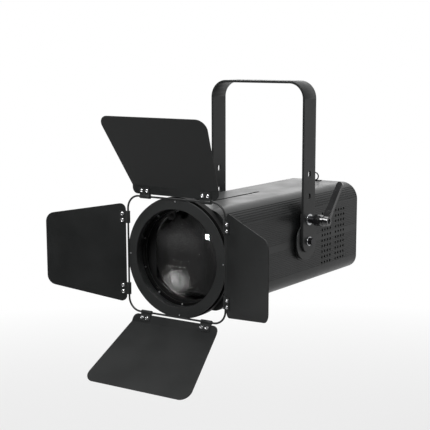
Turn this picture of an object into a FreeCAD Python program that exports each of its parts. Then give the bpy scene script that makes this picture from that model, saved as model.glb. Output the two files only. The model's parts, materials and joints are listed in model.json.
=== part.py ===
"""Theatre spotlight with a zooming lens, barn doors and a hanging yoke, as separate pieces.

Millimetres, +Z up.  The origin is the centre of the yoke's bolt hole, and the beam leaves along -Y.
Pieces of the lamp head are drawn in the lamp frame: y runs rearwards from the barn doors' wire frame
and z is measured from the optical axis.  Their Placement carries them into the yoke's frame.
"""

import FreeCAD, Part
import math
import os
import Sketcher

Vector = FreeCAD.Vector
Rotation = FreeCAD.Rotation
Placement = FreeCAD.Placement

ALONG_X = Rotation(Vector(0, 1, 0), 90)
ALONG_Y = Rotation(Vector(1, 0, 0), -90)
ALONG_Z = Rotation()
TURNS = {"x": ALONG_X, "y": ALONG_Y, "z": ALONG_Z}

DIMENSIONS = {
    # hanging yoke
    "axis_drop": 344.0,
    "front_reach": 327.0,
    "strap_width": 50.0,
    "strap_thick": 5.0,
    "yoke_inside": 230.8,
    "yoke_bend": 33.0,
    "arm_below": 25.0,
    "arm_round": 24.5,
    "bolt_hole": 6.5,
    "slot_half": 5.2,
    "upper_slot_rise": 147.0,
    "upper_slot_reach": 2.3,
    "lower_slot_rise": 98.5,
    "lower_slot_reach": 1.3,
    # tilt pivot and its lock
    "pivot_radius": 5.0,
    "running_gap": 0.05,
    "disc_radius": 42.0,
    "disc_face": 115.0,
    "disc_thick": 3.0,
    "boss_radius": 18.0,
    "lock_rise": 48.0,
    "stud_radius": 5.5,
    "lock_hub": 12.3,
    "lock_neck": 8.0,
    "lock_hub_start": 137.0,
    "lock_hub_end": 170.0,
    # lamp body
    "body_width": 210.8,
    "body_height": 204.0,
    "body_front": 25.0,
    "body_rear": 582.0,
    "wall": 3.0,
    "top_corner": 40.0,
    "foot_corner": 30.0,
    "rib_pitch": 4.0,
    "rib_depth": 0.7,
    "rib_width": 1.4,
    "vent_radius": 3.1,
    "vent_pitch": 12.5,
    "slot_end": 312.0,
    "knob_rest": 80.0,
    # optics
    "bezel_hole": 95.0,
    "drum_radius": 124.0,
    "drum_front": 8.0,
    "drum_step": 21.0,
    "baffle_front": 42.0,
    "baffle_thick": 1.5,
    "inside_gap": 0.6,
    "lens_radius": 97.0,
    "lens_front": 44.5,
    "front_rise": 5.0,
    "lens_rim": 3.0,
    "lens_dome": 93.0,
    "rear_rise": 24.0,
    "carriage_thick": 6.0,
    "bush_radius": 7.0,
    "rod_radius": 4.0,
    "bulkhead": 330.0,
    "led_face": 393.5,
    # rear
    "fan_half": 40.0,
    "fan_rise": 2.0,
    "button_radius": 3.5,
    "button_rise": 52.0,
    "button_pitch": 18.0,
    "socket_drop": 66.0,
    # barn doors
    "wire_half": 120.5,
    "wire_radius": 2.0,
    "wire_corner": 28.0,
    "ring_radius": 121.5,
    "ring_aperture": 100.0,
    "collar_radius": 103.0,
    "leaf_thick": 1.2,
    "leaf_start": 5.0,
    "crease": 22.9,
    "wide_near": 106.0,
    "wide_far": 131.0,
    "wide_reach": 163.0,
    "side_near": 104.7,
    "side_far": 74.7,
    "side_reach": 187.0,
    "near_round": 12.0,
    "far_round": 21.0,
    "clip_place": 75.0,
    "clip_width": 25.0,
    "clip_reach": 19.0,
    "clip_knuckle": 4.3,
    "clip_skin": 1.5,
    "clip_screw_gap": 6.5,
    "clip_screw_place": 12.3,
}

LEAF_BEND = 26.0
# (leaf, turn about the beam, forward tilt of the strip beside the wire, has the bent strip)
LEAVES = (
    ("top", 0.0, 2.8, True),
    ("right", 90.0, 31.5, False),
    ("bottom", 180.0, 27.6, True),
    ("left", 270.0, 16.5, False),
)

doc = FreeCAD.newDocument("theatre_spotlight")
sheet = doc.addObject("Spreadsheet::Sheet", "dims")
for row, (alias, number) in enumerate(DIMENSIONS.items(), start=1):
    sheet.set(f"A{row}", alias)
    sheet.set(f"B{row}", str(number))
    sheet.setAlias(f"B{row}", alias)
doc.recompute()
probe = doc.addObject("App::FeaturePython", "probe")
probe.addProperty("App::PropertyFloat", "Reading")
nodes = []
body_screws = []


def ref(text):
    """A formula in the sheet's words, written the way FreeCAD refers to the sheet."""
    words = text.replace("(", " ( ").replace(")", " ) ").split()
    return " ".join("dims." + word if word in DIMENSIONS else word for word in words)


def reading(text):
    """The present value of a formula in the sheet's words."""
    probe.setExpression("Reading", ref(text))
    probe.recompute()
    return probe.Reading


def bind(thing, **formulas):
    """Binds plain properties of an object to formulas."""
    for name, text in formulas.items():
        thing.setExpression(name, ref(text))
    return thing


def move(thing, x="0", y="0", z="0"):
    """Binds an object's place to formulas and leaves its turn alone."""
    for axis, text in zip("xyz", (x, y, z)):
        thing.setExpression(f"Placement.Base.{axis}", ref(text))
    return thing


def to_lamp(thing):
    """Carries a piece drawn in the lamp frame into the yoke's frame."""
    if thing.TypeId in ("Part::Box", "Part::Cylinder"):
        raise TypeError(f"{thing.Label} would lose its own place")
    return move(thing, "0", "-1 * front_reach", "-1 * axis_drop")


def keep(thing, label):
    """Names a finished piece and puts it on the list of nodes."""
    thing.Label = label
    nodes.append(thing)
    return thing


# ---------------------------------------------------------------- primitives and booleans


def box(x0, x1, y0, y1, z0, z1):
    """A box between two corners."""
    made = doc.addObject("Part::Box", "block")
    bind(made, Length=f"( {x1} ) - ( {x0} )", Width=f"( {y1} ) - ( {y0} )", Height=f"( {z1} ) - ( {z0} )")
    return move(made, x0, y0, z0)


def rod(axis, x, y, z, radius, length):
    """A cylinder that starts at x, y, z and runs along an axis."""
    made = doc.addObject("Part::Cylinder", "rod")
    made.Placement = Placement(Vector(), TURNS[axis])
    bind(made, Radius=radius, Height=length)
    return move(made, x, y, z)


def ring(axis, x, y, z, major, minor):
    """A torus centred on x, y, z."""
    made = doc.addObject("Part::Torus", "torus")
    made.Placement = Placement(Vector(), TURNS[axis])
    bind(made, Radius1=major, Radius2=minor)
    return move(made, x, y, z)


def hexagon(axis, x, y, z, across, length):
    """A hexagonal prism, across its flats."""
    made = doc.addObject("Part::Prism", "hexagon")
    made.Polygon = 6
    made.Placement = Placement(Vector(), TURNS[axis])
    bind(made, Circumradius=f"( {across} ) / 1.7320508", Height=length)
    return move(made, x, y, z)


def fuse(pieces):
    """One solid from overlapping pieces."""
    made = doc.addObject("Part::MultiFuse", "joined")
    made.Shapes = pieces
    made.Refine = True
    return made


def cut(base, tools):
    """A piece with others taken out of it."""
    made = doc.addObject("Part::Cut", "cut")
    made.Base = base
    made.Tool = tools[0] if len(tools) == 1 else fuse(tools)
    return made


def group(pieces):
    """Separate solids that share one node."""
    made = doc.addObject("Part::Compound", "group")
    made.Links = pieces
    return made


def tube(axis, x, y, z, outer, inner, length):
    """A round tube."""
    return cut(rod(axis, x, y, z, outer, length), [rod(axis, x, y, z, inner, length)])


# ---------------------------------------------------------------- part design


def body(label):
    """An empty body, which becomes a node once its features are made."""
    return keep(doc.addObject("PartDesign::Body", label), label)


def sketch_on(owner, role, offset="0"):
    """A sketch on one of a body's own planes.  Positive offsets go towards +X, +Y or +Z."""
    made = owner.newObject("Sketcher::SketchObject", "sketch")
    plane = next(p for p in owner.Origin.OriginFeatures if p.Role == role)
    made.AttachmentSupport = [(plane, "")]
    made.MapMode = "FlatFace"
    sign = "-1" if role == "XZ_Plane" else "1"
    made.setExpression(".AttachmentOffset.Base.z", ref(f"{sign} * ( {offset} )"))
    return made


def bound(sketch, constraint, text):
    """Adds a dimension that follows a formula."""
    index = sketch.addConstraint(constraint)
    sketch.setExpression(f"Constraints[{index}]", ref(text))


def lock(sketch, item, end, x, y):
    """Holds one point of a sketch at x, y."""
    bound(sketch, Sketcher.Constraint("DistanceX", -1, 1, item, end, reading(x)), x)
    bound(sketch, Sketcher.Constraint("DistanceY", -1, 1, item, end, reading(y)), y)


def circle(sketch, x, y, radius):
    """A circle in a sketch."""
    centre = Vector(reading(x), reading(y), 0)
    item = sketch.addGeometry(Part.Circle(centre, Vector(0, 0, 1), reading(radius)))
    bound(sketch, Sketcher.Constraint("Radius", item, reading(radius)), radius)
    lock(sketch, item, 3, x, y)


def polygon(sketch, corners):
    """A closed outline of straight lines."""
    points = [Vector(reading(x), reading(y), 0) for x, y in corners]
    count = len(points)
    items = []
    for index, start in enumerate(points):
        line = Part.LineSegment(start, points[(index + 1) % count])
        items.append(sketch.addGeometry(line))
    for index, item in enumerate(items):
        following = items[(index + 1) % count]
        sketch.addConstraint(Sketcher.Constraint("Coincident", item, 2, following, 1))
        lock(sketch, item, 1, *corners[index])


def rectangle(sketch, x0, x1, y0, y1):
    """A rectangle in a sketch."""
    polygon(sketch, ((x0, y0), (x1, y0), (x1, y1), (x0, y1)))


def rounded(sketch, half_width, low, high, low_round, high_round):
    """An upright rectangle with round corners, even about the sketch's upright axis."""
    wide, bottom, top = reading(half_width), reading(low), reading(high)
    small, large = reading(low_round), reading(high_round)
    corners = (
        (wide, bottom, small, -1, 1, 270),
        (wide, top, large, -1, -1, 0),
        (-wide, top, large, 1, -1, 90),
        (-wide, bottom, small, 1, 1, 180),
    )
    arcs = []
    for x, y, radius, inward_x, inward_y, start in corners:
        centre = Vector(x + inward_x * radius, y + inward_y * radius, 0)
        whole = Part.Circle(centre, Vector(0, 0, 1), radius)
        sweep = (math.radians(start), math.radians(start + 90))
        arcs.append(sketch.addGeometry(Part.ArcOfCircle(whole, *sweep)))
    lines = []
    for index, arc in enumerate(arcs):
        following = arcs[(index + 1) % 4]
        start = sketch.getPoint(arc, 2)
        end = sketch.getPoint(following, 1)
        line = sketch.addGeometry(Part.LineSegment(start, end))
        sketch.addConstraint(Sketcher.Constraint("Tangent", arc, 2, line, 1))
        sketch.addConstraint(Sketcher.Constraint("Tangent", line, 2, following, 1))
        lines.append(line)
    for arc, radius in zip(arcs, (low_round, high_round, high_round, low_round)):
        bound(sketch, Sketcher.Constraint("Radius", arc, reading(radius)), radius)
    right, upper, left, lower = lines
    for line, kind, text in (
        (right, "DistanceX", half_width),
        (left, "DistanceX", f"-1 * ( {half_width} )"),
        (upper, "DistanceY", high),
        (lower, "DistanceY", low),
    ):
        flat = "Vertical" if kind == "DistanceX" else "Horizontal"
        sketch.addConstraint(Sketcher.Constraint(flat, line))
        bound(sketch, Sketcher.Constraint(kind, -1, 1, line, 1, reading(text)), text)


def upright_slot(sketch, x, y, half_width, reach):
    """A slot with round ends, whose end circles stand reach above and below its centre."""
    radius = reading(half_width)
    ends = ((f"( {y} ) + ( {reach} )", 0), (f"( {y} ) - ( {reach} )", 180))
    arcs = []
    for level, start in ends:
        whole = Part.Circle(Vector(reading(x), reading(level), 0), Vector(0, 0, 1), radius)
        sweep = (math.radians(start), math.radians(start + 180))
        arcs.append(sketch.addGeometry(Part.ArcOfCircle(whole, *sweep)))
    for first, second in ((arcs[0], arcs[1]), (arcs[1], arcs[0])):
        segment = Part.LineSegment(sketch.getPoint(first, 2), sketch.getPoint(second, 1))
        line = sketch.addGeometry(segment)
        sketch.addConstraint(Sketcher.Constraint("Tangent", first, 2, line, 1))
        sketch.addConstraint(Sketcher.Constraint("Tangent", line, 2, second, 1))
    for arc, (level, _) in zip(arcs, ends):
        lock(sketch, arc, 3, x, level)
    bound(sketch, Sketcher.Constraint("Radius", arcs[0], radius), half_width)
    sketch.addConstraint(Sketcher.Constraint("Equal", arcs[0], arcs[1]))


def pad(owner, sketch, length, both_ways=False, backwards=False):
    """Grows a sketch into a solid."""
    made = owner.newObject("PartDesign::Pad", "pad")
    made.Profile = sketch
    made.Midplane = both_ways
    made.Reversed = backwards
    bind(made, Length=length)
    return made


def pocket(owner, sketch, length, both_ways=False, backwards=False):
    """Cuts a sketch out of the solid, and makes sure that something was cut."""
    doc.recompute()
    before = owner.Shape.Volume
    made = owner.newObject("PartDesign::Pocket", "pocket")
    made.Profile = sketch
    made.Midplane = both_ways
    made.Reversed = backwards
    bind(made, Length=length)
    doc.recompute()
    if owner.Shape.Volume > before - 0.01:
        raise RuntimeError(f"a pocket in {owner.Label} cuts nothing")
    return made


def revolve(owner, sketch, axis):
    """Turns a profile once round the sketch's H_Axis or V_Axis."""
    made = owner.newObject("PartDesign::Revolution", "turned")
    made.Profile = sketch
    made.ReferenceAxis = (sketch, [axis])
    made.Angle = 360
    return made


def repeat(owner, feature, role, spacing, count, reverse=False):
    """A straight row of a feature, along one of the body's own axes."""
    made = owner.newObject("PartDesign::LinearPattern", "row")
    made.Originals = [feature]
    axis = next(a for a in owner.Origin.OriginFeatures if a.Role == role)
    made.Direction = (axis, [""])
    made.Reversed = reverse
    made.Occurrences = count
    bind(made, Length=f"( {spacing} ) * {count - 1}")
    owner.Tip = made
    return made


def turn_copies(owner, feature, role, count):
    """A full circle of a feature, about one of the body's own axes."""
    made = owner.newObject("PartDesign::PolarPattern", "circle")
    made.Originals = [feature]
    axis = next(a for a in owner.Origin.OriginFeatures if a.Role == role)
    made.Axis = (axis, [""])
    made.Angle = 360
    made.Occurrences = count
    owner.Tip = made
    return made


def soften(owner, places, radius, reach=1.5):
    """Rounds the edges of a body whose middles are near the given points."""
    doc.recompute()
    solid = owner.Tip
    names = []
    for number, edge in enumerate(solid.Shape.Edges, start=1):
        middle = edge.valueAt((edge.FirstParameter + edge.LastParameter) / 2)
        if any(middle.distanceToPoint(place) < reach for place in places):
            names.append(f"Edge{number}")
    if len(names) != len(places):
        raise RuntimeError(f"{owner.Label}: {len(names)} edges found for {len(places)} places")
    made = owner.newObject("PartDesign::Fillet", "softened")
    made.Base = (solid, names)
    bind(made, Radius=radius)
    return made


# ---------------------------------------------------------------- yoke and tilt lock


def make_yoke():
    """The hanging strap, bent into a U, with its bolt hole, pivot holes and slots."""
    made = body("yoke")
    half = "yoke_inside / 2"
    outer = f"{half} + strap_thick"
    top = "strap_thick / 2"
    foot = "-1 * axis_drop - arm_below"
    profile = sketch_on(made, "XZ_Plane")
    polygon(
        profile,
        (
            (f"-1 * ( {outer} )", foot),
            (f"-1 * ( {outer} )", top),
            (outer, top),
            (outer, foot),
            (half, foot),
            (half, f"-1 * {top}"),
            (f"-1 * {half}", f"-1 * {top}"),
            (f"-1 * {half}", foot),
        ),
    )
    pad(made, profile, "strap_width", both_ways=True)
    edge_x, face_z, inner_x = reading(outer), reading(top), reading(half)
    soften(made, [Vector(s * edge_x, 0, face_z) for s in (-1, 1)], "yoke_bend + strap_thick")
    soften(made, [Vector(s * inner_x, 0, -face_z) for s in (-1, 1)], "yoke_bend")
    middle_x = (edge_x + inner_x) / 2
    edge_y = reading("strap_width / 2")
    low = reading(foot)
    ends = [Vector(s * middle_x, e * edge_y, low) for s in (-1, 1) for e in (-1, 1)]
    soften(made, ends, "arm_round")
    hole = sketch_on(made, "XY_Plane")
    circle(hole, "0", "0", "bolt_hole")
    pocket(made, hole, "strap_thick * 4", both_ways=True)
    pivots = sketch_on(made, "YZ_Plane")
    circle(pivots, "0", "-1 * axis_drop", "pivot_radius + running_gap")
    for rise, reach in (("upper_slot_rise", "upper_slot_reach"), ("lower_slot_rise", "lower_slot_reach")):
        upright_slot(pivots, "0", f"{rise} - axis_drop", "slot_half", reach)
    pocket(made, pivots, "yoke_inside * 2", both_ways=True)
    stud = sketch_on(made, "YZ_Plane")
    circle(stud, "0", "lock_rise - axis_drop", "stud_radius + running_gap")
    pocket(made, stud, "yoke_inside", backwards=True)
    return made


def make_pivots():
    """Discs, bolts and washers of the two tilt pivots.  They turn with the lamp body."""
    discs, bolts, washers = [], [], []
    back = "body_width / 2"
    washer_face = "yoke_inside / 2 + strap_thick + 0.15"
    for side in (1, -1):
        spin = Placement(Vector(), Rotation(Vector(0, 0, 1), 0 if side > 0 else 180))
        disc = fuse(
            [
                rod("x", back, "0", "0", "boss_radius", f"disc_face - disc_thick - {back} + 0.5"),
                rod("x", "disc_face - disc_thick", "0", "0", "disc_radius", "disc_thick"),
            ]
        )
        disc = cut(disc, [rod("x", back, "0", "0", "pivot_radius + running_gap", "20")])
        bolt = fuse(
            [
                rod("x", f"{back} - wall", "0", "0", "pivot_radius", f"{washer_face} + 2.5 - {back} + wall"),
                rod("x", f"{washer_face} + 2", "0", "0", "8", "1.6"),
                hexagon("x", f"{washer_face} + 3.6", "0", "0", "12.5", "6"),
            ]
        )
        washer = tube("x", washer_face, "0", "0", "10", "pivot_radius + running_gap", "2")
        for made, family in ((disc, discs), (bolt, bolts), (washer, washers)):
            made.Placement = spin
            family.append(made)
    for family, label in ((discs, "tilt_discs"), (bolts, "pivot_bolts"), (washers, "pivot_washers")):
        move(keep(group(family), label), z="-1 * axis_drop")


def make_lock():
    """The tilt lock on the right arm: clamp shoe, stud, washer, insert, lever, screw and spring."""
    rise = "lock_rise - axis_drop"
    shoe_face = "body_width / 2 + 1.2"
    arm_face = "yoke_inside / 2 + strap_thick"
    shoe = cut(
        box(shoe_face, f"{shoe_face} + 4.8", "-14", "14", "-16", "12"),
        [rod("x", shoe_face, "0", "0", "stud_radius", "6")],
    )
    move(keep(shoe, "clamp_shoe"), z=rise)
    stud = rod("x", shoe_face, "0", rise, "stud_radius", f"149.5 - ( {shoe_face} )")
    keep(stud, "lock_stud")
    washer = tube("x", arm_face, "0", rise, "lock_hub", "stud_radius", "2.4")
    keep(washer, "lock_washer")

    insert = body("lock_insert")
    profile = sketch_on(insert, "XY_Plane")
    polygon(
        profile,
        (
            (f"{arm_face} + 2.6", "stud_radius + running_gap"),
            (f"{arm_face} + 2.6", "lock_neck"),
            ("153", "lock_neck"),
            ("153", "0"),
            ("150", "0"),
            ("150", "stud_radius + running_gap"),
        ),
    )
    revolve(insert, profile, "H_Axis")
    move(insert, z=rise)

    screw = fuse([rod("x", "153", "0", rise, "2.5", "10"), rod("x", "162.6", "0", rise, "5", "2.4")])
    screw = cut(screw, [hexagon("x", "163.2", "0", rise, "4", "2")])
    keep(screw, "lock_screw")

    helix = doc.addObject("Part::Helix", "coil_path")
    helix.Pitch = 1.3
    helix.Height = 3.9
    helix.Radius = 4.1
    doc.recompute()
    turns = [f"Edge{number}" for number in range(1, len(helix.Shape.Edges) + 1)]
    wire = doc.addObject("Part::Circle", "coil_section")
    wire.Radius = 0.3
    wire.Placement = Placement(Vector(4.1, 0, 0), Rotation(Vector(1, 0, 0), 90))
    spring = doc.addObject("Part::Sweep", "coil")
    spring.Sections = [wire]
    spring.Spine = (helix, turns)
    spring.Solid = True
    spring.Frenet = True
    spring.Placement = Placement(Vector(), ALONG_X)
    move(keep(spring, "lock_spring"), "157.6", "0", rise)

    tip = Vector(13, 38, 75)
    along = Vector(tip).normalize()
    lie = Rotation(Vector(1, 0, 0), along, Vector(), "YXZ")
    root = Vector(161, 0, 0)
    arms = []
    for name, reach, near, far, thick in (("arm_foot", 24, 8.5, 8.2, 5.0), ("arm", tip.Length, 7.6, 6.6, 4.2)):
        arm = doc.addObject("Part::Wedge", name)
        arm.Xmin, arm.Xmax, arm.Zmin, arm.Zmax = -near, near, -thick, thick
        arm.X2min, arm.X2max, arm.Z2min, arm.Z2max = -far, far, 0.3 - thick, thick - 0.3
        arm.Ymin, arm.Ymax = 0.0, reach
        arm.Placement = Placement(root, lie)
        arms.append(arm)
    end = doc.addObject("Part::Cylinder", "arm_end")
    end.Radius = 6.6
    end.Height = 7.8
    end.Placement = Placement(root + tip - lie.multVec(Vector(0, 0, 3.9)), lie)
    arms.append(end)
    hub_length = "158 - lock_hub_start"
    barrel = rod("x", "lock_hub_start", "0", "0", "lock_hub", hub_length)
    nose = rod("x", "157", "0", "0", "lock_hub - 2", "lock_hub_end - 157")
    lever = fuse([barrel, nose, *arms])
    lever = cut(
        lever,
        [
            rod("x", "lock_hub_start - 1", "0", "0", "lock_neck + running_gap", "155 - lock_hub_start"),
            rod("x", "150", "0", "0", "3", "10"),
            rod("x", "157", "0", "0", "5.6", "20"),
        ],
    )
    move(keep(lever, "lock_lever"), z=rise)


# ---------------------------------------------------------------- lamp body


def make_housing():
    """The extruded shell: a rounded box section with grooves, ribs, vents and the zoom slot."""
    made = body("housing_shell")
    length = "body_rear - body_front - 2 * wall"
    start = "body_front + wall"
    half, tall = "body_width / 2", "body_height / 2"
    section = sketch_on(made, "XZ_Plane", start)
    rounded(section, half, f"-1 * {tall}", tall, "foot_corner", "top_corner")
    inner = f"{tall} - wall"
    rounded(section, f"{half} - wall", f"-1 * ( {inner} )", inner, "foot_corner - wall", "top_corner - wall")
    pad(made, section, length, backwards=True)

    coarse = sketch_on(made, "XZ_Plane", start)
    for side in ("", "-1 * "):
        for degrees in (48, 41, 33, 25.5, 18, 11):
            across = math.cos(math.radians(degrees))
            up = math.sin(math.radians(degrees))
            x = f"{side}( {half} - top_corner + {across:.5f} * top_corner )"
            circle(coarse, x, f"{tall} - top_corner + {up:.5f} * top_corner", "rib_width * 0.8")
    pocket(made, coarse, "body_rear", backwards=False)

    for top, count in (("64", 15), ("-10", 15)):
        rib = sketch_on(made, "XZ_Plane", start)
        for side in ("", "-1 * "):
            edges = (f"{side}( {half} - rib_depth )", f"{side}( {half} + 2 )")
            rectangle(rib, *edges, f"{top} - rib_width", top)
        groove = pocket(made, rib, "body_rear")
        repeat(made, groove, "Z_Axis", "rib_pitch", count, reverse=True)

    vents = sketch_on(made, "YZ_Plane")
    for first in ("414", "477"):
        for column in range(4):
            circle(vents, f"{first} + {column} * vent_pitch", "49", "vent_radius")
    vent_row = pocket(made, vents, "body_width * 2", both_ways=True)
    repeat(made, vent_row, "Z_Axis", "vent_pitch", 10, reverse=True)

    pivot = sketch_on(made, "YZ_Plane")
    circle(pivot, "front_reach", "0", "pivot_radius + running_gap")
    pocket(made, pivot, "body_width * 2", both_ways=True)

    slot = sketch_on(made, "XY_Plane")
    middle = "( slot_end + knob_rest - 6 ) / 2"
    upright_slot(slot, "0", middle, "4", "( slot_end - knob_rest + 6 ) / 2 - 4")
    pocket(made, slot, "body_height", backwards=True)
    to_lamp(made)


def make_front():
    """The bezel plate and the drum that carries the barn doors."""
    bezel = body("front_bezel")
    plate = sketch_on(bezel, "XZ_Plane", "body_front")
    tall = "body_height / 2"
    rounded(plate, "body_width / 2", f"-1 * {tall}", tall, "foot_corner", "top_corner")
    circle(plate, "0", "0", "bezel_hole")
    pad(bezel, plate, "wall", backwards=True)
    ear = sketch_on(bezel, "XZ_Plane", "body_front")
    polygon(ear, (("-41", "82"), ("-41", "95"), ("-19", "95"), ("-19", "82"), ("-25", "73"), ("-35", "73")))
    pad(bezel, ear, "wall", backwards=True)
    to_lamp(bezel)

    drum = body("front_drum")
    profile = sketch_on(drum, "XY_Plane")
    bore = "collar_radius + running_gap"
    polygon(
        profile,
        (
            (bore, "drum_front"),
            ("drum_radius", "drum_front"),
            ("drum_radius", "body_front"),
            ("bezel_hole", "body_front"),
            ("bezel_hole", "drum_step"),
            (bore, "drum_step"),
        ),
    )
    revolve(drum, profile, "V_Axis")
    pins = sketch_on(drum, "XY_Plane")
    circle(pins, "0", "14.5", "2.55")
    hole = pocket(drum, pins, "drum_radius + 5", backwards=True)
    turn_copies(drum, hole, "Y_Axis", 3)
    to_lamp(drum)

    retainers = []
    for turn in (0, 120, 240):
        pin = rod("z", "0", "14.5", "collar_radius - 0.8", "2.5", "drum_radius - collar_radius - 1")
        holder = group([pin])
        holder.Placement = Placement(Vector(), Rotation(Vector(0, 1, 0), turn))
        retainers.append(holder)
    to_lamp(keep(group(retainers), "ring_retainers"))

    screws = []
    for number in range(10):
        angle = math.radians(18 + 36 * number)
        x = f"97.6 * {math.cos(angle):.6f}"
        z = f"97.6 * {math.sin(angle):.6f}"
        screws.append(rod("y", x, "drum_step - 1.3", z, "2", "1.3"))
    body_screws.extend(screws)

    stop = fuse([rod("y", "-30", "18", "81", "3.6", "4.5"), rod("y", "-30", "22", "81", "5.4", "3")])
    stop = cut(stop, [hexagon("y", "-30", "17", "81", "4.4", "3")])
    to_lamp(keep(stop, "travel_stop"))


def inner_outline(sketch, gap):
    """An outline that fills the inside of the shell, less a gap."""
    level = f"body_height / 2 - wall - {gap}"
    side = f"body_width / 2 - wall - {gap}"
    rounded(sketch, side, f"-1 * ( {level} )", level, "foot_corner - wall", "top_corner - wall")


def make_zoom():
    """The baffle, lens and carriage, which slide together on four rods, and their knob."""
    baffle = body("light_baffle")
    plate = sketch_on(baffle, "XZ_Plane", "baffle_front")
    inner_outline(plate, "inside_gap")
    wide, high, cut_x, cut_z = "81", "92", "40", "37"
    polygon(
        plate,
        (
            (f"-{wide}", f"-{high} + {cut_z}"),
            (f"-{wide}", f"{high} - {cut_z}"),
            (f"-{wide} + {cut_x}", high),
            (f"{wide} - {cut_x}", high),
            (wide, f"{high} - {cut_z}"),
            (wide, f"-{high} + {cut_z}"),
            (f"{wide} - {cut_x}", f"-{high}"),
            (f"-{wide} + {cut_x}", f"-{high}"),
        ),
    )
    for x, z in ROD_PLACES:
        circle(plate, x, z, "rod_radius + 0.5")
    pad(baffle, plate, "baffle_thick", backwards=True)
    to_lamp(baffle)

    rods = []
    bushes = []
    bush_start = "baffle_front + baffle_thick"
    for x, z in ROD_PLACES:
        rods.append(rod("y", x, "body_front + wall", z, "rod_radius", "bulkhead - body_front - wall"))
        bushes.append(tube("y", x, bush_start, z, "bush_radius", "rod_radius + running_gap", "24"))
    to_lamp(keep(group(rods), "guide_rods"))
    to_lamp(keep(group(bushes), "rod_bushes"))

    carriage = body("lens_carriage")
    back = "lens_front + front_rise + lens_rim"
    frame = sketch_on(carriage, "XZ_Plane", f"{back} + 0.1")
    inner_outline(frame, "inside_gap")
    circle(frame, "0", "0", "lens_dome + 0.5")
    for x, z in ROD_PLACES:
        circle(frame, x, z, "bush_radius + 0.02")
    pad(carriage, frame, "carriage_thick", backwards=True)
    boss_start = f"{back} + carriage_thick - 1"
    boss = sketch_on(carriage, "XZ_Plane", boss_start)
    rectangle(boss, "-9", "9", "93.7", "98.2")
    pad(carriage, boss, f"knob_rest + 8 - ( {boss_start} )", backwards=True)
    stem = sketch_on(carriage, "XY_Plane", "93")
    circle(stem, "0", "knob_rest", "3 + running_gap")
    pocket(carriage, stem, "10", backwards=True)
    to_lamp(carriage)
    make_lens()

    clips = []
    face = "lens_front + front_rise"
    for turn in (20, 160, 200, 340):
        finger = box("94", "101", f"{face} - 1.9", f"{face} - 0.5", "-4", "4")
        leg = box("97.3", "101", f"{face} - 1.9", f"{back} + 0.1", "-4", "4")
        made = fuse([finger, leg])
        made.Placement = Placement(Vector(), Rotation(Vector(0, 1, 0), turn))
        clips.append(made)
    to_lamp(keep(group(clips), "lens_clips"))

    knob = body("zoom_knob")
    outline = sketch_on(knob, "XZ_Plane")
    polygon(
        outline,
        (
            ("0", "94"),
            ("3", "94"),
            ("3", "104"),
            ("9", "104"),
            ("9", "119"),
            ("7.5", "121"),
            ("0", "121"),
        ),
    )
    revolve(knob, outline, "V_Axis")
    grip = sketch_on(knob, "XY_Plane", "106")
    circle(grip, "10", "0", "1.8")
    flute = pocket(knob, grip, "20", backwards=True)
    turn_copies(knob, flute, "Z_Axis", 10)
    move(knob, y="knob_rest - front_reach", z="-1 * axis_drop")


def make_lens():
    """The lens: a gentle front curve, a flat rim and a deep rear dome, turned about the axis."""
    lens = body("lens")
    profile = sketch_on(lens, "XY_Plane")
    front, front_rim = "lens_front", "lens_front + front_rise"
    rear_rim, rear = f"{front_rim} + lens_rim", f"{front_rim} + lens_rim + rear_rise"
    spots = (
        ("0", front),
        ("lens_radius", front_rim),
        ("lens_radius", rear_rim),
        ("lens_dome", rear_rim),
        ("0", rear),
    )
    points = [Vector(reading(x), reading(y), 0) for x, y in spots]

    def bow(edge, level):
        """A circle round a centre on the axis, through the axis at a level and through an edge point."""
        rise = edge.y - level
        radius = (edge.x**2 + rise**2) / (2 * abs(rise))
        centre = Vector(0, level + math.copysign(radius, rise), 0)
        return Part.Circle(centre, Vector(0, 0, 1), radius), centre

    front_circle, centre = bow(points[1], points[0].y)
    reach = math.atan2(points[1].y - centre.y, points[1].x)
    front_arc = profile.addGeometry(Part.ArcOfCircle(front_circle, math.radians(-90), reach))
    rear_circle, centre = bow(points[3], points[4].y)
    reach = math.atan2(points[3].y - centre.y, points[3].x)
    rear_arc = profile.addGeometry(Part.ArcOfCircle(rear_circle, reach, math.radians(90)))
    rim = profile.addGeometry(Part.LineSegment(points[1], points[2]))
    step = profile.addGeometry(Part.LineSegment(points[2], points[3]))
    axis = profile.addGeometry(Part.LineSegment(points[4], points[0]))
    joins = (
        (front_arc, 2, rim, 1),
        (rim, 2, step, 1),
        (step, 2, rear_arc, 1),
        (rear_arc, 2, axis, 1),
        (axis, 2, front_arc, 1),
    )
    for join in joins:
        profile.addConstraint(Sketcher.Constraint("Coincident", *join))
    for item, end, spot in ((rim, 1, 1), (rim, 2, 2), (step, 2, 3), (axis, 1, 4), (axis, 2, 0)):
        lock(profile, item, end, *spots[spot])
    for arc in (front_arc, rear_arc):
        profile.addConstraint(Sketcher.Constraint("PointOnObject", arc, 3, -2))
    revolve(lens, profile, "V_Axis")
    to_lamp(lens)


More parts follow.
